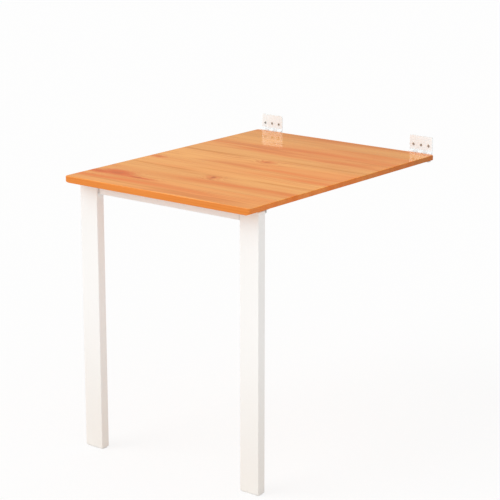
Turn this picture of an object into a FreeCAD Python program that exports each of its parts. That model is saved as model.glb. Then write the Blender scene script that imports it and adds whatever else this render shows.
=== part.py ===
import FreeCAD, Part
import math
import os

V = FreeCAD.Vector

# Wall mounted folding table, in millimetres.
# The origin is on the wall, midway between the two wall hinges, at the height of their wall screws.
# +X runs to the right along the wall, +Y into the wall, +Z up.
# The top lifts about the wall hinges until it lies against the wall, and the leg frame folds under it.

# Tabletop: boards glued edge to edge, with their grain along the wall
TOP_WIDTH = 600.0
TOP_DEPTH = 800.0
TOP_THICKNESS = 18.0
TABLE_HEIGHT = 740.0
TOP_CORNER_RADIUS = 8.0
TOP_UPPER_ROUND = 3.0
TOP_LOWER_ROUND = 3.0
SIDE_BEVEL_RISE = 5.0
SIDE_BEVEL_RUN = 14.0
REAR_BOARD_WIDTH = 98.0
FULL_BOARD_COUNT = 6

# Wall hinges: a tall leaf on the wall, and a leaf cranked under the top that narrows behind its bend
WALL_HINGE_WIDTH = 72.0
WALL_HINGE_SIDE_INSET = 11.0
WALL_HINGE_THICKNESS = 2.5
WALL_HINGE_PIN = 4.0
WALL_KNUCKLE_COUNT = 5
WALL_LEAF_RISE = 45.0
WALL_LEAF_CORNER = 4.0
WALL_SCREW_RISE = 20.0
WALL_SCREW_PITCH = 24.0
WALL_SCREW_HOLE = 4.6
WALL_SCREW_HEAD = 8.2
TABLE_LEAF_REACH = 42.0
TABLE_LEAF_SHOULDER = 10.0
TABLE_LEAF_CORNER = 6.0
TABLE_LEAF_SCREW_EDGE = 14.0
TABLE_LEAF_SCREW_PITCH = 19.0
BEND_CLEARANCE = 1.0

# Leg frame: two flat legs and a crossbar held by dowels
LEG_WIDTH = 58.0
LEG_DEPTH = 26.0
LEG_SIDE_INSET = 10.0
LEG_FRONT_INSET = 46.0
LEG_TOP_GAP = 0.2
LEG_ROUND = 2.0
CROSSBAR_HEIGHT = 30.0
CROSSBAR_DEPTH = 18.0
CROSSBAR_SETBACK = 6.0
CROSSBAR_ROUND = 2.0
DOWEL_DIAMETER = 8.0
DOWEL_LENGTH = 36.0
DOWEL_SPACING = 14.0
DOWEL_CHAMFER = 1.0
DOWEL_CLEARANCE = 0.05
DOWEL_END_ROOM = 1.0

# Foot glides: a pad under each leg with a stem driven up into the end of the leg
GLIDE_THICKNESS = 3.0
GLIDE_MARGIN = 2.5
GLIDE_ROUND = 4.0
GLIDE_STEM_DIAMETER = 6.0
GLIDE_STEM_LENGTH = 16.0
GLIDE_STEM_CLEARANCE = 0.05
GLIDE_STEM_END_ROOM = 1.0

# Leg hinges: tapered leaves, one on the back of the leg and the other under the top
LEG_HINGE_WIDTH = 54.0
LEG_HINGE_THICKNESS = 2.0
LEG_HINGE_PIN = 4.0
LEG_KNUCKLE_COUNT = 5
LEG_HINGE_STANDOFF = 0.3
LEG_LEAF_LENGTH = 38.0
LEG_LEAF_END_WIDTH = 34.0
LEG_LEAF_CORNER = 6.0
LEG_LEAF_SCREW_EDGE = 8.0
LEG_LEAF_SCREW_ROWS = 15.0
LEG_LEAF_SCREW_SPREAD = 20.0

# Fits that both kinds of hinge share
PIN_CLEARANCE = 0.05
KNUCKLE_GAP = 0.4
SWING_CLEARANCE = 0.5
PIN_HEAD_OVERHANG = 1.2
PIN_HEAD_HEIGHT = 1.5
PIN_HEAD_ROUND = 1.0

# Countersunk wood screws
SCREW_SHANK = 3.5
SCREW_HEAD = 7.0
SCREW_LENGTH = 14.0
SCREW_TIP = 3.0
SCREW_CLEARANCE = 0.05

# Rubber stops that the folded legs come to rest on
BUMPER_DIAMETER = 16.0
BUMPER_REAR_INSET = 110.0
BUMPER_SIDE_INSET = 46.0
BUMPER_ROUND = 3.0
BUMPER_GAP = 0.3

# How far a cutting shape runs past the surface that it opens, and how near counts as the same place
CUT_MARGIN = 1.0
SAME_PLACE = 0.01

# Levels and hinge axes
TOP_Z = -WALL_SCREW_RISE
UNDERSIDE_Z = TOP_Z - TOP_THICKNESS
FLOOR_Z = TOP_Z - TABLE_HEIGHT
WALL_BORE_R = WALL_HINGE_PIN / 2 + PIN_CLEARANCE
WALL_KNUCKLE_R = WALL_BORE_R + WALL_HINGE_THICKNESS
WALL_AXIS_Y = -WALL_KNUCKLE_R
WALL_AXIS_Z = TOP_Z
REAR_Y = -2 * WALL_KNUCKLE_R
FRONT_Y = REAR_Y - TOP_DEPTH
LEG_FRONT_Y = FRONT_Y + LEG_FRONT_INSET
LEG_BACK_Y = LEG_FRONT_Y + LEG_DEPTH
LEG_TOP_Z = UNDERSIDE_Z - LEG_TOP_GAP
LEG_FOOT_Z = FLOOR_Z + GLIDE_THICKNESS
LEG_BORE_R = LEG_HINGE_PIN / 2 + PIN_CLEARANCE
LEG_KNUCKLE_R = LEG_BORE_R + LEG_HINGE_THICKNESS
LEG_AXIS_OFFSET = LEG_KNUCKLE_R + LEG_HINGE_STANDOFF
LEG_AXIS_Y = LEG_BACK_Y + LEG_AXIS_OFFSET
LEG_AXIS_Z = UNDERSIDE_Z - LEG_AXIS_OFFSET


def block(x, y, z):
    """A box between two values along each axis."""
    return Part.makeBox(x[1] - x[0], y[1] - y[0], z[1] - z[0], V(x[0], y[0], z[0]))


def rod(x, y, z, radius):
    """A round bar along X, between two values of X."""
    return Part.makeCylinder(radius, x[1] - x[0], V(x[0], y, z), V(1, 0, 0))


def rounded_face(corners, radii):
    """A flat face with straight sides, each corner turned by an arc of its own radius."""
    turns = []
    for i, here in enumerate(corners):
        to_last = (corners[i - 1] - here).normalize()
        to_next = (corners[(i + 1) % len(corners)] - here).normalize()
        half = to_last.getAngle(to_next) / 2
        inward = (to_last + to_next).normalize()
        reach = radii[i] / math.tan(half)
        crown = here + inward * (radii[i] / math.sin(half) - radii[i])
        turns.append((here + to_last * reach, crown, here + to_next * reach))
    edges = []
    for i, (start, crown, end) in enumerate(turns):
        edges.append(Part.LineSegment(turns[i - 1][2], start).toShape())
        if radii[i] > 0:
            edges.append(Part.Arc(start, crown, end).toShape())
    return Part.Face(Part.Wire(edges))


def turned(profile, at, along, rounds=None):
    """A round piece from its profile of (radius, height) points, standing at a point in a direction."""
    corners = [V(radius, 0, height) for radius, height in profile]
    face = rounded_face(corners, rounds or [0] * len(corners))
    solid = face.revolve(V(0, 0, 0), V(0, 0, 1), 360)
    solid.Placement = FreeCAD.Placement(at, FreeCAD.Rotation(V(0, 0, 1), along))
    return solid


def edges_at(shape, **wanted):
    """The edges that lie whole at the wanted value of X, Y or Z."""
    found = []
    for edge in shape.Edges:
        box = edge.BoundBox
        spans = {"x": (box.XMin, box.XMax), "y": (box.YMin, box.YMax), "z": (box.ZMin, box.ZMax)}
        if all(abs(end - value) < SAME_PLACE for axis, value in wanted.items() for end in spans[axis]):
            found.append(edge)
    return found


def side_span(side, inset, width):
    """The X range of a piece of some width, set in from the top's left (-1) or right (+1) side."""
    outer = TOP_WIDTH / 2 - inset
    return tuple(sorted((side * outer, side * (outer - width))))


def middle(span):
    return (span[0] + span[1]) / 2


def screw_profile(grow=0.0):
    """The side of a countersunk screw from its head's rim to its tip, grown for the hole that takes it."""
    head = SCREW_HEAD / 2 + grow
    shank = SCREW_SHANK / 2 + grow
    length = SCREW_LENGTH + grow
    return [(head, 0), (shank, head - shank), (shank, length - SCREW_TIP), (0, length)]


def screw(at, into):
    return turned([(0, 0)] + screw_profile(), at, into)


def screw_room(at, into):
    """The space of a screw with its clearance, open at the head."""
    side = screw_profile(SCREW_CLEARANCE)
    rim = side[0][0]
    return turned([(0, -CUT_MARGIN), (rim, -CUT_MARGIN)] + side, at, into)


def knuckle_spans(span, count):
    """The X range of each knuckle along a hinge, with a gap between neighbours."""
    length = (span[1] - span[0] - KNUCKLE_GAP * (count - 1)) / count
    starts = [span[0] + i * (length + KNUCKLE_GAP) for i in range(count)]
    return [(start, start + length) for start in starts]


def roll_knuckles(plate, spans, first, axis_y, axis_z, bore_r, knuckle_r):
    """Roll every second knuckle on a hinge leaf and open its plate for the other leaf's knuckles."""
    room = knuckle_r + SWING_CLEARANCE
    for i, span in enumerate(spans):
        if i % 2 == first:
            plate = plate.fuse(rod(span, axis_y, axis_z, knuckle_r))
    for i, (start, end) in enumerate(spans):
        if i % 2 != first:
            gap = (start - KNUCKLE_GAP, end + KNUCKLE_GAP)
            plate = plate.cut(block(gap, (axis_y - room, axis_y + room), (axis_z - room, axis_z + room)))
    whole = (spans[0][0] - CUT_MARGIN, spans[-1][1] + CUT_MARGIN)
    return plate.cut(rod(whole, axis_y, axis_z, bore_r)).removeSplitter()


def hinge_pin(span, axis_y, axis_z, diameter):
    """A pin along a hinge, headed over at both ends."""
    length = span[1] - span[0]
    shank = diameter / 2
    head = shank + PIN_HEAD_OVERHANG
    low = -PIN_HEAD_HEIGHT
    high = length + PIN_HEAD_HEIGHT
    profile = [(0, low), (head, low), (head, 0), (shank, 0)]
    profile += [(shank, length), (head, length), (head, high), (0, high)]
    rounds = [0, PIN_HEAD_ROUND, 0, 0, 0, 0, PIN_HEAD_ROUND, 0]
    return turned(profile, V(span[0], axis_y, axis_z), V(1, 0, 0), rounds)


def wall_leaf(span):
    """The leaf on the wall: a plate that stands above the top, with a row of countersunk screw holes."""
    high = TOP_Z + WALL_LEAF_RISE
    outline = [(span[0], WALL_AXIS_Z), (span[1], WALL_AXIS_Z), (span[1], high), (span[0], high)]
    corners = [V(x, -WALL_HINGE_THICKNESS, z) for x, z in outline]
    plate = rounded_face(corners, [0, 0, WALL_LEAF_CORNER, WALL_LEAF_CORNER])
    leaf = plate.extrude(V(0, WALL_HINGE_THICKNESS, 0))
    spans = knuckle_spans(span, WALL_KNUCKLE_COUNT)
    leaf = roll_knuckles(leaf, spans, 0, WALL_AXIS_Y, WALL_AXIS_Z, WALL_BORE_R, WALL_KNUCKLE_R)
    head = WALL_SCREW_HEAD / 2
    hole = WALL_SCREW_HOLE / 2
    through = WALL_HINGE_THICKNESS + CUT_MARGIN
    profile = [(0, -CUT_MARGIN), (head, -CUT_MARGIN), (head, 0)]
    profile += [(hole, head - hole), (hole, through), (0, through)]
    for step in (-1, 0, 1):
        at = V(middle(span) + step * WALL_SCREW_PITCH, -WALL_HINGE_THICKNESS, 0)
        leaf = leaf.cut(turned(profile, at, V(0, 1, 0)))
    return leaf


def table_leaf_screws(span):
    """Where the screws of a table leaf start: a row under the top, along the free end of the leaf."""
    y = REAR_Y - TABLE_LEAF_REACH + TABLE_LEAF_SCREW_EDGE
    z = UNDERSIDE_Z - WALL_HINGE_THICKNESS
    return [V(middle(span) + step * TABLE_LEAF_SCREW_PITCH, y, z) for step in (-1, 0, 1)]


def table_leaf(span):
    """The leaf on the top: down its rear edge from the knuckles, then a tongue bent forward under it."""
    back = REAR_Y + WALL_HINGE_THICKNESS
    low = UNDERSIDE_Z - WALL_HINGE_THICKNESS
    free_end = REAR_Y - TABLE_LEAF_REACH
    outline = [(REAR_Y, WALL_AXIS_Z), (REAR_Y, UNDERSIDE_Z), (free_end, UNDERSIDE_Z)]
    outline += [(free_end, low), (back, low), (back, WALL_AXIS_Z)]
    bend = max(TOP_LOWER_ROUND - BEND_CLEARANCE, 0)
    corners = [V(span[0], y, z) for y, z in outline]
    section = rounded_face(corners, [0, bend, 0, 0, bend + WALL_HINGE_THICKNESS, 0])
    leaf = section.extrude(V(span[1] - span[0], 0, 0))
    tongue = (span[0] + TABLE_LEAF_SHOULDER, span[1] - TABLE_LEAF_SHOULDER)
    shoulder_y = (free_end - CUT_MARGIN, REAR_Y - TABLE_LEAF_SHOULDER)
    shoulder_z = (low - CUT_MARGIN, UNDERSIDE_Z + CUT_MARGIN)
    for x in ((span[0] - CUT_MARGIN, tongue[0]), (tongue[1], span[1] + CUT_MARGIN)):
        leaf = leaf.cut(block(x, shoulder_y, shoulder_z))
    free_corners = [edge for x in tongue for edge in edges_at(leaf, x=x, y=free_end)]
    leaf = leaf.makeFillet(TABLE_LEAF_CORNER, free_corners)
    spans = knuckle_spans(span, WALL_KNUCKLE_COUNT)
    leaf = roll_knuckles(leaf, spans, 1, WALL_AXIS_Y, WALL_AXIS_Z, WALL_BORE_R, WALL_KNUCKLE_R)
    return leaf.cut([screw_room(at, V(0, 0, 1)) for at in table_leaf_screws(span)])


def leg_leaf_face(span, place):
    """The face of a leg hinge leaf: it tapers from the axis to a rounded free end."""
    half = LEG_LEAF_END_WIDTH / 2
    outline = [(span[0], 0), (span[1], 0)]
    outline += [(middle(span) + half, LEG_LEAF_LENGTH), (middle(span) - half, LEG_LEAF_LENGTH)]
    return rounded_face([place(x, away) for x, away in outline], [0, 0, LEG_LEAF_CORNER, LEG_LEAF_CORNER])


def leg_screw_pattern(span):
    """Screw places on a leg hinge leaf, as (X, distance from the axis): one near it, two further out."""
    far = LEG_LEAF_LENGTH - LEG_LEAF_SCREW_EDGE
    near = far - LEG_LEAF_SCREW_ROWS
    spread = LEG_LEAF_SCREW_SPREAD / 2
    return [(middle(span), near), (middle(span) - spread, far), (middle(span) + spread, far)]


def top_leaf_screws(span):
    z = UNDERSIDE_Z - LEG_HINGE_THICKNESS
    return [V(x, LEG_AXIS_Y + away, z) for x, away in leg_screw_pattern(span)]


def leg_leaf_screws(span):
    y = LEG_BACK_Y + LEG_HINGE_THICKNESS
    return [V(x, y, LEG_AXIS_Z - away) for x, away in leg_screw_pattern(span)]


def leg_hinge_top_leaf(span):
    """The leaf of a leg hinge that lies flat under the top and points to the wall."""
    face = leg_leaf_face(span, lambda x, away: V(x, LEG_AXIS_Y + away, UNDERSIDE_Z))
    leaf = face.extrude(V(0, 0, -LEG_HINGE_THICKNESS))
    spans = knuckle_spans(span, LEG_KNUCKLE_COUNT)
    leaf = roll_knuckles(leaf, spans, 0, LEG_AXIS_Y, LEG_AXIS_Z, LEG_BORE_R, LEG_KNUCKLE_R)
    return leaf.cut([screw_room(at, V(0, 0, 1)) for at in top_leaf_screws(span)])


def leg_hinge_leg_leaf(span):
    """The leaf of a leg hinge that hangs down the back of the leg."""
    face = leg_leaf_face(span, lambda x, away: V(x, LEG_BACK_Y, LEG_AXIS_Z - away))
    leaf = face.extrude(V(0, LEG_HINGE_THICKNESS, 0))
    spans = knuckle_spans(span, LEG_KNUCKLE_COUNT)
    leaf = roll_knuckles(leaf, spans, 1, LEG_AXIS_Y, LEG_AXIS_Z, LEG_BORE_R, LEG_KNUCKLE_R)
    return leaf.cut([screw_room(at, V(0, -1, 0)) for at in leg_leaf_screws(span)])


def dowel_places(inner_x):
    """The middles of the two dowels where the crossbar meets a leg."""
    y = LEG_FRONT_Y + CROSSBAR_SETBACK + CROSSBAR_DEPTH / 2
    z = LEG_TOP_Z - CROSSBAR_HEIGHT / 2
    return [V(inner_x, y, z + step * DOWEL_SPACING / 2) for step in (-1, 1)]


def dowel(at):
    half = DOWEL_LENGTH / 2
    radius = DOWEL_DIAMETER / 2
    tip = radius - DOWEL_CHAMFER
    shoulder = half - DOWEL_CHAMFER
    profile = [(0, -half), (tip, -half), (radius, -shoulder), (radius, shoulder), (tip, half), (0, half)]
    return turned(profile, at, V(1, 0, 0))


def dowel_room(at):
    reach = DOWEL_LENGTH / 2 + DOWEL_END_ROOM
    return rod((at.x - reach, at.x + reach), at.y, at.z, DOWEL_DIAMETER / 2 + DOWEL_CLEARANCE)


def leg(span, inner_x, hinge_span):
    """A flat leg with softened edges, bored for its dowels, its glide's stem and its hinge's screws."""
    blank = block(span, (LEG_FRONT_Y, LEG_BACK_Y), (LEG_FOOT_Z, LEG_TOP_Z))
    blank = blank.makeFillet(LEG_ROUND, blank.Edges)
    rooms = [dowel_room(at) for at in dowel_places(inner_x)]
    rooms += [screw_room(at, V(0, -1, 0)) for at in leg_leaf_screws(hinge_span)]
    radius = GLIDE_STEM_DIAMETER / 2 + GLIDE_STEM_CLEARANCE
    deep = CUT_MARGIN + GLIDE_STEM_LENGTH + GLIDE_STEM_END_ROOM
    foot = V(middle(span), middle((LEG_FRONT_Y, LEG_BACK_Y)), LEG_FOOT_Z - CUT_MARGIN)
    rooms.append(Part.makeCylinder(radius, deep, foot))
    return blank.cut(rooms)


def crossbar(inner_left, inner_right):
    """The bar between the legs, with its long edges softened."""
    front = LEG_FRONT_Y + CROSSBAR_SETBACK
    y = (front, front + CROSSBAR_DEPTH)
    z = (LEG_TOP_Z - CROSSBAR_HEIGHT, LEG_TOP_Z)
    bar = block((inner_left, inner_right), y, z)
    long_edges = [edge for a in y for b in z for edge in edges_at(bar, y=a, z=b)]
    bar = bar.makeFillet(CROSSBAR_ROUND, long_edges)
    return bar.cut([dowel_room(at) for x in (inner_left, inner_right) for at in dowel_places(x)])


def foot_glide(span):
    """The pad under a leg, a little smaller than the leg, with a stem up into it."""
    x = (span[0] + GLIDE_MARGIN, span[1] - GLIDE_MARGIN)
    y = (LEG_FRONT_Y + GLIDE_MARGIN, LEG_BACK_Y - GLIDE_MARGIN)
    outline = [(x[0], y[0]), (x[1], y[0]), (x[1], y[1]), (x[0], y[1])]
    sole = rounded_face([V(a, b, FLOOR_Z) for a, b in outline], [GLIDE_ROUND] * 4)
    pad = sole.extrude(V(0, 0, GLIDE_THICKNESS))
    stem_length = GLIDE_THICKNESS + GLIDE_STEM_LENGTH
    stem = Part.makeCylinder(GLIDE_STEM_DIAMETER / 2, stem_length, V(middle(x), middle(y), FLOOR_Z))
    return pad.fuse(stem).removeSplitter()


def bumper(x):
    """A rubber stop under the top, just short of the back of the folded leg."""
    radius = BUMPER_DIAMETER / 2
    height = 2 * LEG_AXIS_OFFSET - BUMPER_GAP
    at = V(x, REAR_Y - BUMPER_REAR_INSET, UNDERSIDE_Z)
    profile = [(0, 0), (radius, 0), (radius, height), (0, height)]
    return turned(profile, at, V(0, 0, -1), [0, 0, BUMPER_ROUND, 0])


def side_bevel(side):
    """The wedge planed off under one side of the top, which leaves that side a thinner edge."""
    inner = side * (TOP_WIDTH / 2 - SIDE_BEVEL_RUN)
    outer = side * (TOP_WIDTH / 2 + CUT_MARGIN)
    high = UNDERSIDE_Z + SIDE_BEVEL_RISE * (SIDE_BEVEL_RUN + CUT_MARGIN) / SIDE_BEVEL_RUN
    low = UNDERSIDE_Z - CUT_MARGIN
    outline = [(inner, low), (inner, UNDERSIDE_Z), (outer, high), (outer, low)]
    section = rounded_face([V(x, FRONT_Y, z) for x, z in outline], [0] * 4)
    return section.extrude(V(0, TOP_DEPTH, 0))


def top_panel():
    """The whole top: rounded corners and edges all the way round, then a bevel under each side."""
    half = TOP_WIDTH / 2
    outline = [(-half, FRONT_Y), (half, FRONT_Y), (half, REAR_Y), (-half, REAR_Y)]
    plan = rounded_face([V(x, y, UNDERSIDE_Z) for x, y in outline], [TOP_CORNER_RADIUS] * 4)
    panel = plan.extrude(V(0, 0, TOP_THICKNESS))
    panel = panel.makeFillet(TOP_UPPER_ROUND, edges_at(panel, z=TOP_Z))
    panel = panel.makeFillet(TOP_LOWER_ROUND, edges_at(panel, z=UNDERSIDE_Z))
    return panel.cut([side_bevel(-1), side_bevel(1)])


def board_spans():
    """The Y range of each board, from the wall to the front: a ripped one first, then the full ones."""
    full = (TOP_DEPTH - REAR_BOARD_WIDTH) / FULL_BOARD_COUNT
    spans = [(REAR_Y - REAR_BOARD_WIDTH, REAR_Y)]
    for i in range(FULL_BOARD_COUNT):
        start = spans[-1][0]
        spans.append((start - full, start))
    return spans


nodes = {}
top_rooms = []
inner_faces = {}

for name, side in (("left", -1), ("right", 1)):
    wall_span = side_span(side, WALL_HINGE_SIDE_INSET, WALL_HINGE_WIDTH)
    leg_span = side_span(side, LEG_SIDE_INSET, LEG_WIDTH)
    hinge_span = (middle(leg_span) - LEG_HINGE_WIDTH / 2, middle(leg_span) + LEG_HINGE_WIDTH / 2)
    inner_x = min(leg_span, key=abs)
    inner_faces[name] = inner_x
    under_screws = {
        "table_leaf_screws_" + name: table_leaf_screws(wall_span),
        "leg_hinge_top_screws_" + name: top_leaf_screws(hinge_span),
    }
    for node, places in under_screws.items():
        nodes[node] = Part.makeCompound([screw(at, V(0, 0, 1)) for at in places])
        top_rooms += [screw_room(at, V(0, 0, 1)) for at in places]
    leg_screws = [screw(at, V(0, -1, 0)) for at in leg_leaf_screws(hinge_span)]
    nodes["leg_hinge_leg_screws_" + name] = Part.makeCompound(leg_screws)
    nodes["wall_leaf_" + name] = wall_leaf(wall_span)
    nodes["table_leaf_" + name] = table_leaf(wall_span)
    nodes["wall_hinge_pin_" + name] = hinge_pin(wall_span, WALL_AXIS_Y, WALL_AXIS_Z, WALL_HINGE_PIN)
    nodes["leg_hinge_top_leaf_" + name] = leg_hinge_top_leaf(hinge_span)
    nodes["leg_hinge_leg_leaf_" + name] = leg_hinge_leg_leaf(hinge_span)
    nodes["leg_hinge_pin_" + name] = hinge_pin(hinge_span, LEG_AXIS_Y, LEG_AXIS_Z, LEG_HINGE_PIN)
    nodes["leg_" + name] = leg(leg_span, inner_x, hinge_span)
    nodes["crossbar_dowels_" + name] = Part.makeCompound([dowel(at) for at in dowel_places(inner_x)])
    nodes["foot_glide_" + name] = foot_glide(leg_span)
    nodes["leg_bumper_" + name] = bumper(side * (TOP_WIDTH / 2 - BUMPER_SIDE_INSET))

nodes["crossbar"] = crossbar(inner_faces["left"], inner_faces["right"])

panel = top_panel()
for number, y in enumerate(board_spans(), start=1):
    slab = block((-TOP_WIDTH, TOP_WIDTH), y, (UNDERSIDE_Z - CUT_MARGIN, TOP_Z + CUT_MARGIN))
    nodes["top_board_" + str(number)] = panel.common(slab).cut(top_rooms)

os.makedirs("parts", exist_ok=True)
for node, shape in nodes.items():
    shape.exportStep("parts/" + node + ".step")
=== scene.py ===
import math
from collections import namedtuple

import bmesh
import bpy
from mathutils import Matrix, Vector


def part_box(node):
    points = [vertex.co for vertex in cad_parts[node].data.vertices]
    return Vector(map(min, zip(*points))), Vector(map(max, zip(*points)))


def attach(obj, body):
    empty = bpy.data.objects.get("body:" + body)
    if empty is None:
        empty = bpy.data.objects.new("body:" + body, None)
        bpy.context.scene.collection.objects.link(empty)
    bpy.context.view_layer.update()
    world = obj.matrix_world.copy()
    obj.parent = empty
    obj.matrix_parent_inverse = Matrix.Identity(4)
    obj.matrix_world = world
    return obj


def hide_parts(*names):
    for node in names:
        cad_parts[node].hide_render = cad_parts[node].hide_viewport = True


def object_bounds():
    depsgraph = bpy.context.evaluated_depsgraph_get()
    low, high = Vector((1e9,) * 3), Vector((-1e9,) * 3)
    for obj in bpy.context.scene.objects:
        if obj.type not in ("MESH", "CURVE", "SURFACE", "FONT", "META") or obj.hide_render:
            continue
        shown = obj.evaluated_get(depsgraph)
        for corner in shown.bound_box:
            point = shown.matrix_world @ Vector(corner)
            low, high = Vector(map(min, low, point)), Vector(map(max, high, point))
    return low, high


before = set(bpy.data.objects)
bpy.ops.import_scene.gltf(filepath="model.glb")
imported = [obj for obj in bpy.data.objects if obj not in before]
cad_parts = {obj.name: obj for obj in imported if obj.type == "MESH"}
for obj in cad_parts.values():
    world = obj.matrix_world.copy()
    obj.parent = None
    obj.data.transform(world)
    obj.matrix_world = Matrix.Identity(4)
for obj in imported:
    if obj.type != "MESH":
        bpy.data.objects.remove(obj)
cad_low, cad_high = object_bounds()

# Camera, in metres and degrees, at the viewing angle of the photograph
CAMERA_PLACE = (2.8321, -4.0328, 0.9550)
CAMERA_TURN = 38.147
CAMERA_DIP = 14.679
CAMERA_LENS = 129.45
SENSOR_WIDTH = 36.0

# Light: at level 1 the world, or a lamp straight ahead of a surface, shows it in its own colour
WORLD_LIGHT = 0.800
KEY_LIGHT = 0.380
KEY_TURN = -35.0
KEY_HEIGHT = 36.0
FILL_LIGHT = 0.065
FILL_TURN = 50.0
FILL_HEIGHT = 18.0
LAMP_SOFTNESS = 50.0

# Surroundings as the eye and reflections see them: the world by the upward part of the ray, and the floor
HORIZON_SEEN = 0.97
CEILING_SEEN = 0.36
HORIZON_END = 0.05
CEILING_START = 0.15
WHITE = (1.0, 1.0, 1.0)
FLOOR_SIZE = 60.0
FLOOR_TONE = (0.90, 0.895, 0.89)
FLOOR_GLOW = 0.80

# Colours of the wood in the top
HONEY_WOOD = (0.950, 0.442, 0.120)
AMBER_WOOD = (0.880, 0.250, 0.046)
LATE_WOOD = (0.660, 0.180, 0.032)
STREAK_WOOD = (0.700, 0.240, 0.036)
GLUE = (0.600, 0.205, 0.040)
KNOT_WOOD = (0.540, 0.140, 0.020)
KNOT_HALO = (0.800, 0.150, 0.020)
EDGE_WOOD = (0.650, 0.168, 0.016)
END_GRAIN = (0.640, 0.150, 0.021)

# Boards of the top, counted from the wall: how light each is, and how light its end grain is, which holds
# painted shade that darkens the end grain toward the wall
BOARD_COUNT = 7
BOARD_TONES = (0.92, 0.99, 1.00, 1.05, 1.05, 1.02, 1.05)
END_GRAIN_SHADE_TONES = (0.59, 0.68, 0.76, 0.84, 0.91, 0.97, 1.00)

# Knots and stains: place along and across the top, radius, stretch along the grain, halo and core shares
KNOTS = {
    4: [(0.006, -0.361, 0.0115, 1.0, 0.60, 0.45)],
    5: [(-0.270, -0.478, 0.0075, 1.6, 0.60, 0.40)],
    6: [(0.012, -0.591, 0.0110, 1.0, 0.50, 0.75), (-0.223, -0.688, 0.0150, 1.7, 0.92, 0.0)],
    7: [(-0.217, -0.700, 0.0150, 1.9, 0.95, 0.30), (-0.268, -0.710, 0.0110, 2.0, 0.92, 0.20),
        (-0.140, -0.712, 0.0055, 5.0, 0.85, 0.65)],
}

# Dark streaks along the grain: place along the top, half length, place across, half width and share
STREAKS = {
    1: [(0.000, 0.400, -0.028, 0.014, 0.50)],
    2: [(0.120, 0.160, -0.116, 0.006, 0.40), (-0.122, 0.030, -0.147, 0.006, 0.95)],
    3: [(-0.200, 0.180, -0.336, 0.006, 0.90), (0.170, 0.220, -0.327, 0.007, 0.90)],
    4: [(-0.200, 0.150, -0.347, 0.005, 0.70)],
    5: [(-0.190, 0.170, -0.561, 0.006, 0.80), (0.220, 0.150, -0.561, 0.008, 1.00)],
    7: [(-0.080, 0.220, -0.777, 0.006, 0.70)],
}

# Red heartwood: place across the top, half width, share at the left and right, below 0 for paler wood
HEARTWOOD = {
    1: [(-0.020, 0.024, 1.00, 0.80)],
    2: [(-0.130, 0.030, -0.70, 0.70), (-0.205, 0.035, 0.75, 0.55)],
    3: [(-0.245, 0.042, 0.45, 0.60)],
    4: [(-0.370, 0.025, -0.80, 0.30), (-0.418, 0.045, -0.10, 1.00)],
    5: [(-0.482, 0.030, 0.10, 0.70)],
    6: [(-0.642, 0.030, 0.40, 0.90)],
    7: [(-0.730, 0.040, 0.50, 0.35), (-0.762, 0.014, 0.70, 0.20), (-0.795, 0.022, 0.40, 0.40)],
}

# Patterns of noise: features in a metre along X, Y and Z, detail, roughness and a seed
Noise = namedtuple("Noise", "scale detail roughness seed", defaults=(2.0, 0.5, 0))
RING_SWAY = Noise((1.5, 7.0, 7.0), detail=1.0)
RING_RIPPLE = Noise((5.0, 28.0, 28.0), seed=3)
RING_FADE = Noise((4.0, 30.0, 30.0))
HEART_PATCH = Noise((2.4, 21.0, 21.0), seed=17)
HEART_SWAY = Noise((3.0, 9.0, 9.0), seed=29)
STREAKINESS = Noise((2.8, 62.0, 62.0), seed=11)
STREAK_SWAY = Noise((5.0, 9.0, 9.0), seed=37)
KNOT_EDGE = Noise((70.0, 150.0, 150.0), seed=41)
FIBRE = Noise((16.0, 1300.0, 1300.0), detail=3.0, roughness=0.6)
VARNISH = Noise((9.0, 26.0, 26.0), seed=23)
LEG_GRAIN = Noise((260.0, 260.0, 7.0), detail=3.0, roughness=0.6)
CROSSBAR_GRAIN = Noise((7.0, 260.0, 260.0), detail=3.0, roughness=0.6)
PAINT_ROLLER = Noise((420.0, 420.0, 420.0))
PAINT_PATCH = Noise((6.0, 6.0, 3.0), seed=5)
PAINT_RUBBING = Noise((60.0, 60.0, 25.0), detail=3.0, seed=9)
PAINT_SHEEN = Noise((30.0, 30.0, 12.0), detail=3.0, seed=13)
ORANGE_PEEL = Noise((750.0, 750.0, 750.0), detail=1.5)
COATING_CLOUD = Noise((45.0, 45.0, 45.0), seed=4)
PIN_MARKS = Noise((2600.0, 40.0, 40.0), detail=3.0, roughness=0.65)
SCREW_MARKS = Noise((900.0, 900.0, 900.0), detail=3.0, roughness=0.65)
TARNISH = Noise((140.0, 140.0, 140.0), detail=3.0, seed=6)
BEECH_FLECK = Noise((90.0, 1500.0, 1500.0))
BEECH_TONE = Noise((10.0, 120.0, 120.0), seed=3)
PLASTIC_PITS = Noise((1600.0, 1600.0, 1600.0), detail=3.0, roughness=0.6)
RUBBER_PITS = Noise((2200.0, 2200.0, 2200.0), detail=3.0, roughness=0.6)
DUST = Noise((55.0, 55.0, 55.0), detail=3.0, seed=8)

# Numbers that give each board noise of its own
BOARD_START = 7.3
FADE_START = 5.1
YEAR_START = 31.7

# Growth rings, in metres, round a pith that shifts and leans from board to board, by turns in radians
RING_WIDTH = 0.0060
SWAY_REACH = 0.0170
RIPPLE_REACH = 0.00408
PITH_SHIFT = 0.045
PITH_SHIFT_TURN = 2.4
PITH_DEPTH = 0.060
PITH_DEPTH_CHANGE = 0.030
PITH_DEPTH_TURN = 1.7
GRAIN_LEAN = 0.05
GRAIN_LEAN_TURN = 4.1

# Late wood: rise and fall within a ring, its share, and what is left in weak years and faded stretches
LATE_RISE = (0.20, 0.80)
LATE_FALL = (1.00, 0.86)
LATE_SHARE = 0.70
WEAK_YEAR_SHARE = 0.25
FADE_STEP = (0.30, 0.62)
FADED_SHARE = 0.25

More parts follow.
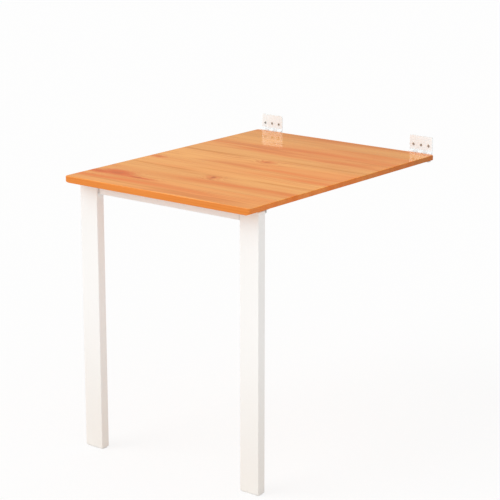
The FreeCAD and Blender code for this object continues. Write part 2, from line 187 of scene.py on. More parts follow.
# Heartwood and streaks: the soft edge of a band in half widths, and the steps and shares of their noise
BAND_START = 1.3
BAND_FULL = 0.3
PATCH_STEP = (0.45, 0.72)
PATCH_SHARE = 0.40
HEART_SWAY_REACH = 0.022
HEART_BREAK_STEP = (0.30, 0.60)
HEART_BREAK_SHARE = 0.45
FAINT_STREAK_STEP = (0.55, 0.72)
FAINT_STREAK_SHARE = 0.35
STREAK_SWAY_REACH = 0.008
STREAK_FULL_LENGTH = 0.3
STREAK_BREAK_STEP = (0.30, 0.60)
STREAK_BREAK_SHARE = 0.6

# Knots, in radii: how far the rings swerve round one, and where its halo and core start and are full
SWERVE_START = 4.5
SWERVE_RINGS = 2.4
HALO_STRETCH = 1.6
HALO_START = 2.2
HALO_FULL = 0.4
CORE_STRETCH = 0.85
CORE_START = 0.95
CORE_FULL = 0.45
KNOT_EDGE_LEVELS = (0.55, 1.45)

# Glue lines, in metres
GLUE_LINE = 0.0014
GLUE_FULL = 0.00028
GLUE_SHARE = 0.60

# Edges and varnish of the boards, by how far a face looks sideways or upward
END_GRAIN_STEP = (0.30, 0.85)
EDGE_STEP = (0.92, 0.45)
EDGE_SHARE = 0.75
EDGE_LEVELS = (1.18, 0.84)
FIBRE_CHANGE = 0.08
LATE_RELIEF = -0.35
FIBRE_RELIEF = 0.5
BOARD_BUMP = 0.00012
BOARD_ROUGHNESS = (0.40, 0.56)
VARNISH_STEP = (0.70, 0.97)
VARNISH_WEIGHTS = (0.35, 0.65)
VARNISH_ROUGHNESS = 0.07

# White paint of the legs and the crossbar
PAINT = (0.850, 0.836, 0.816)
# Colour of paint rubbed at the edges, also used for the painted shade low on the legs
PAINT_WEAR_AND_SHADE = (0.770, 0.725, 0.672)
PAINT_PATCH_LEVELS = (0.975, 1.02)
PAINT_GRAIN_LEVELS = (0.985, 1.01)
PAINT_GRAIN_RELIEF = 0.7
PAINT_ROLLER_RELIEF = 0.3
PAINT_BUMP = 0.00018
PAINT_ROUGHNESS = (0.34, 0.50)
PAINT_SPECULAR = 0.35
RUBBED_WIDTH = 0.0035
RUBBED_CORNER_STEP = (0.96, 0.80)
RUBBED_STEP = (0.50, 0.68)
RUBBED_SHARE = 0.30
# Painted shade: the paint darkens in blotches from this height down to the floor
LOW_SHADE_TOP = -0.30
LOW_SHADE_SHARE = 0.75
LOW_SHADE_LEVELS = (0.75, 1.25)
# Painted shade: a dark strip on the crossbar's ends where they meet the legs
JOINT_SHADE = (0.330, 0.310, 0.300)
JOINT_SHADE_WIDTH = 0.0095
JOINT_SHADE_SHARE = 0.55

# White coating of the hinge leaves: on the wall tinted cool to cancel the warm light bounced off the top,
# which is painted light, and under the top a darker copy, which is painted shade
COATING = (0.880, 0.938, 0.958)
SHADED_UNDER_COATING = (0.750, 0.765, 0.765)
COATING_LEVELS = (0.97, 1.015)
COATING_BUMP = 0.00010
COATING_ROUGHNESS = (0.30, 0.46)
COATING_SPECULAR = 0.40

# Steel of the pins and screws
PIN_STEEL = (0.600, 0.595, 0.580)
PIN_ROUGHNESS = 0.28
SCREW_STEEL = (0.580, 0.575, 0.560)
SCREW_ROUGHNESS = 0.42
MARK_LEVELS = (0.86, 1.10)
TARNISH_LEVELS = (0.86, 1.08)
TARNISH_SMOOTHER = 0.08
TARNISH_ROUGHER = 0.12
MARK_BUMP = 0.00003

# Beech of the dowels
BEECH = (0.600, 0.365, 0.175)
BEECH_LEVELS = (0.85, 1.12)
FLECK_STEP = (0.58, 0.72)
FLECK_SHARE = 0.45
BEECH_BUMP = 0.00008
BEECH_ROUGHNESS = (0.55, 0.75)

# Plastic of the glides and rubber of the stops
GLIDE_PLASTIC = (0.800, 0.785, 0.760)
PLASTIC_ROUGHNESS = 0.48
RUBBER = (0.022, 0.021, 0.021)
RUBBER_ROUGHNESS = 0.72
DUST_LEVELS = (0.88, 1.12)
DUST_ROUGHNESS_CHANGE = 0.08
MOULD_BUMP = 0.00010
MOULD_SPECULAR = 0.35

# Countersunk screws, in metres and degrees
WALL_SCREW_PITCH = 0.024
WALL_LEAF_THICKNESS = 0.0025
WALL_SCREW_HEAD = 0.0080
WALL_SCREW_SHANK = 0.0040
WALL_SCREW_LENGTH = 0.016
SCREW_PITCH = 0.0022
SCREW_SIDES = 24
THREAD_STEPS = 6
SHARP_ANGLE = 35.0
SAME_POINT = 1e-6

# Proportions of a screw: its head, the recess in it, and the thread, whose ridge and point go by pitches
SHANK_SHARE = 0.5
LIP_SHARE = 0.03
HEAD_SLOPE = 0.92
RECESS_ARM = 0.62
RECESS_WIDTH = 0.21
RECESS_DEPTH = 0.42
RECESS_TAPER = 0.45
CORE_SHARE = 0.72
TIP_SHARE = 0.08
RIDGE_REACH = 0.32
POINT_PITCHES = 2.2

# How the names of paired nodes end
SIDES = ("left", "right")


class Nodes:
    """A tree of shader nodes, with short ways to add to it."""

    def __init__(self, tree):
        self.tree = tree

    def add(self, kind, **settings):
        """A new node with its settings."""
        node = self.tree.nodes.new(f"ShaderNode{kind}")
        for name, value in settings.items():
            setattr(node, name, value)
        return node

    def feed(self, socket, value):
        """Gives a socket a link, a colour, a vector or a number."""
        if isinstance(value, bpy.types.NodeSocket):
            self.tree.links.new(value, socket)
        elif socket.type == "RGBA" and len(value) == 3:
            socket.default_value = (*value, 1.0)
        else:
            socket.default_value = value

    def feed_all(self, node, *values):
        """Gives a node's first sockets their values, in order."""
        for socket, value in zip(node.inputs, values):
            self.feed(socket, value)

    def math(self, operation, *values, clamp=False):
        """The result of one operation on numbers."""
        node = self.add("Math", operation=operation, use_clamp=clamp)
        self.feed_all(node, *values)
        return node.outputs["Value"]

    def vector(self, operation, *values):
        """A node for one operation on vectors."""
        node = self.add("VectorMath", operation=operation)
        self.feed_all(node, *values)
        return node

    def product(self, first, *others):
        """Several values multiplied."""
        for other in others:
            first = self.math("MULTIPLY", first, other)
        return first

    def split(self, vector):
        """The X, Y and Z parts of a vector."""
        node = self.add("SeparateXYZ")
        self.feed_all(node, vector)
        return tuple(node.outputs)

    def length(self, first, second):
        """The length of a vector with two parts."""
        squares = self.math("ADD", self.product(first, first), self.product(second, second))
        return self.math("SQRT", squares)

    def away(self, value, place):
        """How far a value is from a place, to either side."""
        return self.math("ABSOLUTE", self.math("SUBTRACT", value, place))

    def ease(self, value, start, end, low=0.0, high=1.0):
        """A smooth step from low at start to high at end."""
        node = self.add("MapRange", interpolation_type="SMOOTHSTEP")
        self.feed_all(node, value, start, end, low, high)
        return node.outputs["Result"]

    def range(self, value, low, high):
        """A value of 0 to 1 spread from low to high."""
        return self.math("MULTIPLY_ADD", value, high - low, low)

    def seen_ray(self):
        """1 for what the eye, a mirror or a glass sees, 0 for light that falls on a surface."""
        path = self.add("LightPath")
        seen = path.outputs["Is Camera Ray"]
        for name in ("Is Glossy Ray", "Is Transmission Ray"):
            seen = self.math("MAXIMUM", seen, path.outputs[name])
        return seen


class Finish(Nodes):
    """One procedural material: a principled surface and the nodes that feed it."""

    def __init__(self, name, start=0.0):
        self.material = bpy.data.materials.new(name)
        self.material.use_nodes = True
        super().__init__(self.material.node_tree)
        self.surface = self.tree.nodes["Principled BSDF"]
        places = self.add("TexCoord")
        self.place = places.outputs["Object"]
        self.normal = places.outputs["Normal"]
        self.start = start

    def set(self, **sockets):
        """Feeds sockets of the surface, named with underscores for spaces."""
        for name, value in sockets.items():
            self.feed(self.surface.inputs[name.replace("_", " ")], value)

    def noise(self, pattern, start=None):
        """Noise of about 0 to 1, moved by its seed and by the finish's own start or another one."""
        shift = pattern.seed + (self.start if start is None else start)
        moved = self.vector("MULTIPLY_ADD", self.place, pattern.scale, (shift, 2 * shift, 3 * shift))
        node = self.add("TexNoise")
        self.feed(node.inputs["Vector"], moved.outputs["Vector"])
        self.feed(node.inputs["Scale"], 1.0)
        self.feed(node.inputs["Detail"], pattern.detail)
        self.feed(node.inputs["Roughness"], pattern.roughness)
        return node.outputs[0]

    def swing(self, pattern, reach):
        """Noise that swings to either side of 0 by a reach."""
        return self.range(self.noise(pattern), -reach, reach)

    def random(self, value):
        """A steady random number for each value."""
        node = self.add("TexWhiteNoise", noise_dimensions="1D")
        self.feed(node.inputs["W"], value)
        return node.outputs["Value"]

    def mix(self, share, first, second):
        """Two colours mixed, with a share of the second. Colours are sockets 6 and 7 in, and 2 out."""
        node = self.add("Mix", data_type="RGBA")
        self.feed(node.inputs[0], share)
        self.feed(node.inputs[6], first)
        self.feed(node.inputs[7], second)
        return node.outputs[2]

    def lighten(self, colour, level):
        """A colour made lighter or darker by a level about 1."""
        node = self.vector("SCALE", colour)
        self.feed(node.inputs["Scale"], level)
        return node.outputs["Vector"]

    def flatness(self, width):
        """1 on a flat face, and less within a width of an edge or a corner."""
        softened = self.add("Bevel")
        self.feed(softened.inputs["Radius"], width)
        true_normal = self.add("NewGeometry").outputs["Normal"]
        return self.vector("DOT_PRODUCT", softened.outputs["Normal"], true_normal).outputs["Value"]

    def bump(self, height, distance):
        """A normal that follows a height, whose full range is a distance in metres."""
        node = self.add("Bump")
        self.feed(node.inputs["Height"], height)
        self.feed(node.inputs["Distance"], distance)
        return node.outputs["Normal"]


class Pine(Finish):
    """The wood of one board of the top."""

    def __init__(self, number):
        super().__init__(f"varnished_pine_{number}", start=BOARD_START * number)
        self.number = number
        self.low, self.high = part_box(f"top_board_{number}")
        self.x, self.y, self.z = self.split(self.place)
        self.sideways, _, self.upward = self.split(self.normal)

    def growth_rings(self):
        """The count of rings outward from a pith line under the board, which leans and wanders."""
        sway = self.swing(RING_SWAY, SWAY_REACH)
        wander = self.math("ADD", sway, self.swing(RING_RIPPLE, RIPPLE_REACH))
        pith_y = (self.low.y + self.high.y) / 2 + PITH_SHIFT * math.sin(PITH_SHIFT_TURN * self.number)
        pith_z = self.high.z - PITH_DEPTH - PITH_DEPTH_CHANGE * math.cos(PITH_DEPTH_TURN * self.number)
        lean = GRAIN_LEAN * math.sin(GRAIN_LEAN_TURN * self.number)
        across = self.math("ADD", self.math("SUBTRACT", self.y, pith_y), wander)
        across = self.math("MULTIPLY_ADD", self.x, lean, across)
        depth = self.math("ADD", self.math("SUBTRACT", self.z, pith_z), wander)
        return self.math("DIVIDE", self.length(across, depth), RING_WIDTH)

    def knot_fields(self, knot):
        """How far the rings swerve round a knot, and the shares of its red halo and its dark core."""
        along, across, radius, stretch, halo_share, core_share = knot
        run = self.math("SUBTRACT", self.x, along)
        rise = self.math("SUBTRACT", self.y, across)
        rough = self.range(self.noise(KNOT_EDGE, start=0.0), *KNOT_EDGE_LEVELS)

        def reach(more_stretch):
            flat = self.math("DIVIDE", run, more_stretch * stretch)
            return self.math("MULTIPLY", self.length(flat, rise), rough)

        swerve = self.ease(reach(1.0), SWERVE_START * radius, 0.0)
        halo = self.ease(reach(HALO_STRETCH), HALO_START * radius, HALO_FULL * radius, 0.0, halo_share)
        core = self.ease(reach(CORE_STRETCH), CORE_START * radius, CORE_FULL * radius, 0.0, core_share)
        return swerve, halo, core

    def rings_and_knots(self):
        """The count of rings as they run round the knots, and the shares of all halos and cores."""
        rings = self.growth_rings()
        halo = core = 0.0
        for knot in KNOTS.get(self.number, []):
            swerve, new_halo, new_core = self.knot_fields(knot)
            rings = self.math("MULTIPLY_ADD", swerve, SWERVE_RINGS, rings)
            halo = self.math("MAXIMUM", halo, new_halo)
            core = self.math("MAXIMUM", core, new_core)
        return rings, halo, core

    def late_share(self, rings):
        """How dark each point of a ring is: slow rise, quick fall, and some rings stronger."""
        phase = self.math("FRACT", rings)
        year = self.random(self.math("ADD", self.math("FLOOR", rings), YEAR_START * self.number))
        strength = self.range(year, WEAK_YEAR_SHARE, 1.0)
        fade = self.ease(self.noise(RING_FADE, FADE_START * self.number), *FADE_STEP, FADED_SHARE, 1.0)
        return self.product(self.ease(phase, *LATE_RISE), self.ease(phase, *LATE_FALL), strength, fade)

    def band(self, place, middle, half):
        """1 along the middle of a band, falling softly to 0 a little beyond its half width."""
        return self.ease(self.away(place, middle), BAND_START * half, BAND_FULL * half)

    def heart_share(self):
        """How red the heartwood is: soft wavy bands along the board over a faint patchy ground."""
        patch = self.noise(HEART_PATCH)
        broken = self.ease(patch, *HEART_BREAK_STEP, HEART_BREAK_SHARE, 1.0)
        wavy_y = self.math("ADD", self.y, self.swing(HEART_SWAY, HEART_SWAY_REACH))
        share = self.ease(patch, *PATCH_STEP, 0.0, PATCH_SHARE)
        for across, half, left, right in HEARTWOOD[self.number]:
            level = self.ease(self.x, cad_low.x, cad_high.x, left, right)
            band = self.product(self.band(wavy_y, across, half), level, broken)
            share = self.math("ADD", share, band, clamp=True)
        return share

    def streak_share(self, streak):
        """How dark the streaks are: faint ones all over the board, and those with a place of their own."""
        wavy_y = self.math("ADD", self.y, self.swing(STREAK_SWAY, STREAK_SWAY_REACH))
        share = self.ease(streak, *FAINT_STREAK_STEP, 0.0, FAINT_STREAK_SHARE)
        for along, reach, across, half, most in STREAKS.get(self.number, []):
            run = self.ease(self.away(self.x, along), reach, STREAK_FULL_LENGTH * reach)
            level = self.ease(streak, *STREAK_BREAK_STEP, STREAK_BREAK_SHARE * most, most)
            line = self.product(run, self.band(wavy_y, across, half), level)
            share = self.math("MAXIMUM", share, line)
        return share

    def glue_share(self):
        """A hairline of glue where the board meets the next, and none at the top's free edges."""
        gap = GLUE_LINE
        if self.number > 1:
            gap = self.math("MINIMUM", gap, self.math("SUBTRACT", self.high.y, self.y))
        if self.number < BOARD_COUNT:
            gap = self.math("MINIMUM", gap, self.math("SUBTRACT", self.y, self.low.y))
        return self.ease(gap, GLUE_LINE, GLUE_FULL, 0.0, GLUE_SHARE)

    def edge_colour(self, streak):
        """The darker wood of the edges, with end grain at the sides of the top that holds painted shade,
        darker toward the wall.
        """
        # Painted shade: the end grain is darkened board by board toward the wall
        end_grain_and_shade = tuple(END_GRAIN_SHADE_TONES[self.number - 1] * part for part in END_GRAIN)
        sideways = self.math("ABSOLUTE", self.sideways)
        edge = self.mix(self.ease(sideways, *END_GRAIN_STEP), EDGE_WOOD, end_grain_and_shade)
        return self.lighten(edge, self.range(streak, *EDGE_LEVELS))


def board_finish(number):
    """Pine under glossy varnish: heartwood, growth rings, streaks, fibres, knots, glue lines and edges."""
    wood = Pine(number)
    rings, halo, core = wood.rings_and_knots()
    late = wood.late_share(rings)
    streak = wood.noise(STREAKINESS)
    fibre = wood.noise(FIBRE)
    film = wood.noise(VARNISH)
    tone = BOARD_TONES[number - 1]
    upright = wood.math("ABSOLUTE", wood.upward)

    colour = wood.mix(wood.heart_share(), HONEY_WOOD, AMBER_WOOD)
    colour = wood.mix(wood.math("MULTIPLY", late, LATE_SHARE), colour, LATE_WOOD)
    colour = wood.mix(wood.streak_share(streak), colour, STREAK_WOOD)
    colour = wood.lighten(colour, wood.range(fibre, tone - FIBRE_CHANGE, tone + FIBRE_CHANGE))
    colour = wood.mix(halo, colour, KNOT_HALO)
    colour = wood.mix(core, colour, KNOT_WOOD)
    colour = wood.mix(wood.glue_share(), colour, GLUE)
    edge_share = wood.ease(upright, *EDGE_STEP, 0.0, EDGE_SHARE)
    colour = wood.mix(edge_share, colour, wood.edge_colour(streak))

    relief = wood.math("MULTIPLY_ADD", late, LATE_RELIEF, wood.math("MULTIPLY", fibre, FIBRE_RELIEF))
    wood.set(
        Base_Color=colour,
        Roughness=wood.range(film, *BOARD_ROUGHNESS),
        Specular_IOR_Level=0.0,
        Coat_Weight=wood.ease(upright, *VARNISH_STEP, *VARNISH_WEIGHTS),
        Coat_Roughness=VARNISH_ROUGHNESS,
        Normal=wood.bump(relief, BOARD_BUMP),
        Coat_Normal=wood.bump(film, BOARD_BUMP),
    )
    return wood.material


def paint_finish(name, grain_pattern, joint_x=None):
    """Satin white paint on wood: faint grain, rubbed edges, painted shade low down, and painted shade at
    the joints.
    """
    paint = Finish(name)
    x, _, z = paint.split(paint.place)
    grain = paint.noise(grain_pattern)
    roller = paint.noise(PAINT_ROLLER)
    patch = paint.noise(PAINT_PATCH)

    colour = paint.lighten(PAINT, paint.range(patch, *PAINT_PATCH_LEVELS))
    colour = paint.lighten(colour, paint.range(grain, *PAINT_GRAIN_LEVELS))
    # Painted shade, darker toward the floor in blotches
    low_shade = paint.ease(z, LOW_SHADE_TOP, cad_low.z, 0.0, LOW_SHADE_SHARE)
    colour = paint.mix(paint.product(low_shade, paint.range(patch, *LOW_SHADE_LEVELS)), colour, PAINT_WEAR_AND_SHADE)
    corner = paint.ease(paint.flatness(RUBBED_WIDTH), *RUBBED_CORNER_STEP)
    rubbed = paint.ease(paint.noise(PAINT_RUBBING), *RUBBED_STEP)
    colour = paint.mix(paint.product(corner, rubbed, RUBBED_SHARE), colour, PAINT_WEAR_AND_SHADE)
    if joint_x is not None:
        # Painted shade in the corner where the crossbar meets the legs
        joint_shade = paint.ease(paint.math("ABSOLUTE", x), joint_x - JOINT_SHADE_WIDTH, joint_x, 0.0, JOINT_SHADE_SHARE)
        colour = paint.mix(joint_shade, colour, JOINT_SHADE)

    fine = paint.math("MULTIPLY", roller, PAINT_ROLLER_RELIEF)
    relief = paint.math("MULTIPLY_ADD", grain, PAINT_GRAIN_RELIEF, fine)
    paint.set(
        Base_Color=colour,
        Roughness=paint.range(paint.noise(PAINT_SHEEN), *PAINT_ROUGHNESS),
        Specular_IOR_Level=PAINT_SPECULAR,
        Normal=paint.bump(relief, PAINT_BUMP),
    )
    return paint.material


def coating_finish(name, tone):
    """White powder coat: fine orange peel, slight change of sheen."""
    coat = Finish(name)
    peel = coat.noise(ORANGE_PEEL)
    cloud = coat.noise(COATING_CLOUD)
    coat.set(
        Base_Color=coat.lighten(tone, coat.range(cloud, *COATING_LEVELS)),
        Roughness=coat.range(cloud, *COATING_ROUGHNESS),
        Specular_IOR_Level=COATING_SPECULAR,
        Normal=coat.bump(peel, COATING_BUMP),
    )
    return coat.material


def steel_finish(name, tone, mark_pattern, roughness):
    """Plated steel with fine tool marks and some tarnish."""
    steel = Finish(name)
    marks = steel.noise(mark_pattern)
    tarnish = steel.noise(TARNISH)
    level = steel.product(steel.range(marks, *MARK_LEVELS), steel.range(tarnish, *TARNISH_LEVELS))
    steel.set(
        Base_Color=steel.lighten(tone, level),
        Metallic=1.0,
        Roughness=steel.range(tarnish, roughness - TARNISH_SMOOTHER, roughness + TARNISH_ROUGHER),
        Normal=steel.bump(marks, MARK_BUMP),
    )
    return steel.material


def dowel_finish():
    """Bare beech with short flecks along the dowel."""
    beech = Finish("bare_beech")
    fleck = beech.noise(BEECH_FLECK)
    tone = beech.noise(BEECH_TONE)
    colour = beech.lighten(BEECH, beech.range(tone, *BEECH_LEVELS))
    colour = beech.mix(beech.ease(fleck, *FLECK_STEP, 0.0, FLECK_SHARE), colour, LATE_WOOD)
    beech.set(
        Base_Color=colour,
        Roughness=beech.range(tone, *BEECH_ROUGHNESS),
        Normal=beech.bump(fleck, BEECH_BUMP),
    )
    return beech.material


def moulded_finish(name, tone, pit_pattern, roughness):
    """Moulded plastic or rubber with a fine pitted surface and some dust."""
    mould = Finish(name)
    pits = mould.noise(pit_pattern)
    dust = mould.noise(DUST)
    mould.set(
        Base_Color=mould.lighten(tone, mould.range(dust, *DUST_LEVELS)),
        Roughness=mould.range(dust, roughness - DUST_ROUGHNESS_CHANGE, roughness + DUST_ROUGHNESS_CHANGE),
        Specular_IOR_Level=MOULD_SPECULAR,
        Normal=mould.bump(pits, MOULD_BUMP),
    )
    return mould.material


def pairs(*names):
    """The left and right node of each name."""
    return [f"{name}_{side}" for name in names for side in SIDES]


def dress(nodes, material):
    """Gives nodes their finish."""
    for node in nodes:
        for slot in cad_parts[node].material_slots:
            slot.material = material


def dress_nodes():
    """Gives every node its finish, apart from the screws that threaded ones replace."""
    for number in range(1, BOARD_COUNT + 1):
        dress([f"top_board_{number}"], board_finish(number))
    dress(pairs("leg"), paint_finish("white_paint_on_legs", LEG_GRAIN))
    joint_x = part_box("crossbar")[1].x
    dress(["crossbar"], paint_finish("white_paint_on_crossbar", CROSSBAR_GRAIN, joint_x))
    dress(pairs("wall_leaf", "wall_hinge_pin"), coating_finish("white_powder_coat", COATING))
    # The leaves under the top take the darker copy of the coat, as painted shade
    under_leaves = pairs("table_leaf", "leg_hinge_top_leaf", "leg_hinge_leg_leaf")
    dress(under_leaves, coating_finish("shaded_powder_coat", SHADED_UNDER_COATING))
    dress(pairs("leg_hinge_pin"), steel_finish("turned_pin_steel", PIN_STEEL, PIN_MARKS, PIN_ROUGHNESS))
    dress(pairs("crossbar_dowels"), dowel_finish())
    plastic = moulded_finish("white_plastic_glide", GLIDE_PLASTIC, PLASTIC_PITS, PLASTIC_ROUGHNESS)
    dress(pairs("foot_glide"), plastic)
    dress(pairs("leg_bumper"), moulded_finish("black_rubber_stop", RUBBER, RUBBER_PITS, RUBBER_ROUGHNESS))


def add_object(name, data):
    """A new object in the scene."""
    made = bpy.data.objects.new(name, data)
    bpy.context.scene.collection.objects.link(made)
    return made


def add_piece(name, shape, material):
    """A new mesh object from a shape, which is used up."""
    mesh = bpy.data.meshes.new(name)
    shape.to_mesh(mesh)
    shape.free()
    mesh.materials.append(material)
    return add_object(name, mesh)


def solid_boxes(node):
    """The lowest and highest corner of each separate solid of a node."""
    shape = bmesh.new()
    shape.from_mesh(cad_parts[node].data)
    bmesh.ops.remove_doubles(shape, verts=shape.verts, dist=SAME_POINT)
    waiting = set(shape.verts)
    boxes = []
    while waiting:
        group = [waiting.pop()]
        for vert in group:
            near = [edge.other_vert(vert) for edge in vert.link_edges]
            fresh = [other for other in near if other in waiting]
            waiting.difference_update(fresh)
            group.extend(fresh)
        corners = [vert.co for vert in group]
        low = Vector(min(corner[axis] for corner in corners) for axis in range(3))
        high = Vector(max(corner[axis] for corner in corners) for axis in range(3))
        boxes.append((low, high))
    shape.free()
    return sorted(boxes, key=lambda pair: tuple(pair[0]))


def ring_of(shape, radii, height):
    """A ring of points about the Z axis, one for each radius."""
    points = []
    for step, radius in enumerate(radii):
        angle = 2 * math.pi * step / len(radii)
        points.append(shape.verts.new((radius * math.cos(angle), radius * math.sin(angle), height)))
    return points


def round_ring(shape, radius, height):
    """A circle of points about the Z axis."""
    return ring_of(shape, [radius] * SCREW_SIDES, height)


def bridge(shape, upper, lower):
    """Faces between two rings, looking outward when upper is above lower."""
    count = len(upper)
    for step in range(count):
        after = (step + 1) % count
        shape.faces.new((upper[step], lower[step], lower[after], upper[after]))


def add_head(shape, head_radius):
    """The flat face of a screw's head with a tapered cross recess, and the rim round it."""
    rim = round_ring(shape, head_radius, 0.0)
    arm = RECESS_ARM * head_radius
    half = RECESS_WIDTH * head_radius
    outline = []
    for quarter in range(4):
        turn = Matrix.Rotation(quarter * math.pi / 2, 3, "Z")
        for x, y in ((half, -half), (arm, -half), (arm, half)):
            outline.append(turn @ Vector((x, y, 0.0)))
    recess_top = [shape.verts.new(point) for point in outline]
    floor = Vector((0.0, 0.0, -RECESS_DEPTH * head_radius))
    recess_floor = [shape.verts.new(point * RECESS_TAPER + floor) for point in outline]
    edges = []
    for loop in (rim, recess_top):
        for one, other in zip(loop, loop[1:] + loop[:1]):
            edges.append(shape.edges.new((one, other)))
    bmesh.ops.triangle_fill(shape, use_beauty=True, edges=edges, normal=(0.0, 0.0, 1.0))
    bridge(shape, recess_floor, recess_top)
    shape.faces.new(recess_floor)
    return rim


def thread_radii(drop, core_radius, crest_height):
    """Radii round a threaded shank at a depth: a ridge that goes round once in each pitch."""
    radii = []
    for step in range(SCREW_SIDES):
        turn = (drop / SCREW_PITCH + step / SCREW_SIDES) % 1.0
        ridge = max(0.0, 1.0 - abs(turn - 0.5) / RIDGE_REACH)
        radii.append(core_radius + crest_height * ridge)
    return radii


def add_thread(shape, neck, start, length, shank_radius):
    """A threaded shank from a ring at the neck, at a depth of start, to a point at a depth of length."""
    core_radius = CORE_SHARE * shank_radius
    point_length = POINT_PITCHES * SCREW_PITCH
    steps = int((length - start) / SCREW_PITCH * THREAD_STEPS)
    above = neck
    for step in range(1, steps):
        drop = start + (length - start) * step / steps
        taper = min(1.0, (length - drop) / point_length)
        growth = min(1.0, (drop - start) / SCREW_PITCH)
        crest_height = (shank_radius - core_radius) * growth * taper
        radii = thread_radii(drop, core_radius * max(taper, TIP_SHARE), crest_height)
        below = ring_of(shape, radii, -drop)
        bridge(shape, above, below)
        above = below
    tip = shape.verts.new((0.0, 0.0, -length))
    for step in range(SCREW_SIDES):
        shape.faces.new((above[step], tip, above[(step + 1) % SCREW_SIDES]))


def add_screw(shape, head_centre, direction, head_size, shank_size, length):
    """A countersunk wood screw with a cross recess and a thread, head flush at head_centre."""
    first = len(shape.verts)
    head_radius = head_size / 2
    shank_radius = shank_size / 2
    neck_radius = CORE_SHARE * shank_radius
    lip_depth = LIP_SHARE * head_size
    neck_depth = lip_depth + (head_radius - neck_radius) * HEAD_SLOPE
    rim = add_head(shape, head_radius)
    lip = round_ring(shape, head_radius, -lip_depth)
    bridge(shape, rim, lip)
    neck = round_ring(shape, neck_radius, -neck_depth)
    bridge(shape, lip, neck)
    add_thread(shape, neck, neck_depth, length, shank_radius)

    shape.verts.ensure_lookup_table()
    made = shape.verts[first:]
    turn = Vector((0.0, 0.0, -1.0)).rotation_difference(direction).to_matrix()
    bmesh.ops.rotate(shape, cent=(0, 0, 0), matrix=turn, verts=made)
    bmesh.ops.translate(shape, vec=head_centre, verts=made)


def screw_piece(name, screws, body, material, replaced=None):
    """One piece of several screws, riding on a body."""
    shape = bmesh.new()
    for screw in screws:
        add_screw(shape, *screw)
    bmesh.ops.recalc_face_normals(shape, faces=shape.faces)
    piece = add_piece(name, shape, material)
    piece.data.set_sharp_from_angle(angle=math.radians(SHARP_ANGLE))
    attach(piece, body)
    if replaced:
        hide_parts(replaced)


def screws_in_place_of(node, direction):
    """Screws with the size and place of a node's solids, driven in a direction."""
    screws = []
    way = Vector(direction)
    axis = max(range(3), key=lambda part: abs(way[part]))
    side = (axis + 1) % 3
    for low, high in solid_boxes(node):
        head = (low + high) / 2
        head[axis] = low[axis] if way[axis] > 0 else high[axis]
        head_size = high[side] - low[side]
        screws.append((head, way, head_size, SHANK_SHARE * head_size, high[axis] - low[axis]))
    return screws


def wall_screws(leaf):
    """The three screws of a wall leaf, in a row at the height of the origin."""
    low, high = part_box(leaf)
    middle = (low.x + high.x) / 2
    into_wall = Vector((0, 1, 0))
    screws = []
    for step in (-1, 0, 1):
        head = Vector((middle + step * WALL_SCREW_PITCH, -WALL_LEAF_THICKNESS, 0.0))
        screws.append((head, into_wall, WALL_SCREW_HEAD, WALL_SCREW_SHANK, WALL_SCREW_LENGTH))
    return screws


def add_screws():
    """The wall screws, and threaded screws in place of the plain ones."""
    steel = steel_finish("dark_screw_steel", SCREW_STEEL, SCREW_MARKS, SCREW_ROUGHNESS)
    for side in SIDES:
        screw_piece(f"wall_screws_{side}", wall_screws(f"wall_leaf_{side}"), "wall_plates", steel)
        for name, body, direction in (
            ("table_leaf_screws", "tabletop", (0, 0, 1)),
            ("leg_hinge_top_screws", "tabletop", (0, 0, 1)),
            ("leg_hinge_leg_screws", "leg_frame", (0, -1, 0)),
        ):
            node = f"{name}_{side}"
            screw_piece(f"{node}_threaded", screws_in_place_of(node, direction), body, steel, node)


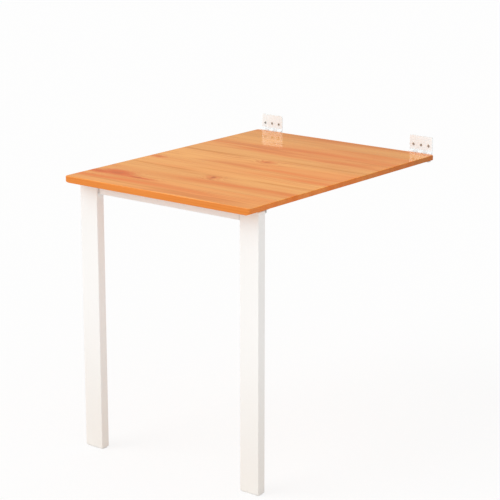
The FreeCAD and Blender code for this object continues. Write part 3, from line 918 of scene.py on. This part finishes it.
def floor_finish():
    """A matt floor that glows for the eye and reflections alone, and keeps the object's shadow."""
    material = bpy.data.materials.new("pale_floor")
    material.use_nodes = True
    nodes = Nodes(material.node_tree)
    nodes.tree.nodes.remove(nodes.tree.nodes["Principled BSDF"])
    matt = nodes.add("BsdfDiffuse")
    nodes.feed(matt.inputs["Color"], FLOOR_TONE)
    glow = nodes.add("Emission")
    nodes.feed(glow.inputs["Color"], WHITE)
    both = nodes.add("MixShader")
    share = nodes.math("MULTIPLY", nodes.seen_ray(), FLOOR_GLOW)
    nodes.feed_all(both, share, matt.outputs[0], glow.outputs[0])
    nodes.feed(nodes.tree.nodes["Material Output"].inputs["Surface"], both.outputs[0])
    return material


def add_floor():
    """A wide pale floor under the feet."""
    shape = bmesh.new()
    bmesh.ops.create_grid(shape, x_segments=1, y_segments=1, size=FLOOR_SIZE / 2)
    floor = add_piece("floor", shape, floor_finish())
    floor.location.z = cad_low.z


def add_lamp(name, level, turn, height):
    """A very large soft lamp, turned from straight in front and raised above the floor, in degrees."""
    light = bpy.data.lights.new(name, "SUN")
    light.energy = math.pi * level
    light.angle = math.radians(LAMP_SOFTNESS)
    lamp = add_object(name, light)
    lamp.rotation_euler = (math.radians(90.0 - height), 0.0, math.radians(turn))


def add_light():
    """Even light from all round, a soft key lamp at the front left and a low fill at the front right."""
    world = bpy.data.worlds.new("studio")
    bpy.context.scene.world = world
    world.use_nodes = True
    nodes = Nodes(world.node_tree)
    upward = nodes.split(nodes.add("TexCoord").outputs["Generated"])[2]
    sky = nodes.ease(upward, HORIZON_END, CEILING_START, HORIZON_SEEN, CEILING_SEEN)
    choice = nodes.add("Mix", data_type="FLOAT")
    nodes.feed(choice.inputs["Factor"], nodes.seen_ray())
    nodes.feed(choice.inputs["A"], WORLD_LIGHT)
    nodes.feed(choice.inputs["B"], sky)
    background = nodes.tree.nodes["Background"]
    nodes.feed(background.inputs["Color"], WHITE)
    nodes.feed(background.inputs["Strength"], choice.outputs["Result"])
    add_lamp("key", KEY_LIGHT, KEY_TURN, KEY_HEIGHT)
    add_lamp("fill", FILL_LIGHT, FILL_TURN, FILL_HEIGHT)


def add_camera():
    """A camera at the viewing angle of the photograph."""
    camera = bpy.data.cameras.new("camera")
    camera.lens = CAMERA_LENS
    camera.sensor_width = SENSOR_WIDTH
    holder = add_object("camera", camera)
    holder.location = CAMERA_PLACE
    holder.rotation_euler = (math.radians(90.0 - CAMERA_DIP), 0.0, math.radians(CAMERA_TURN))
    bpy.context.scene.camera = holder


dress_nodes()
add_screws()
add_floor()
add_light()
add_camera()
bpy.context.scene.view_settings.view_transform = "Standard"
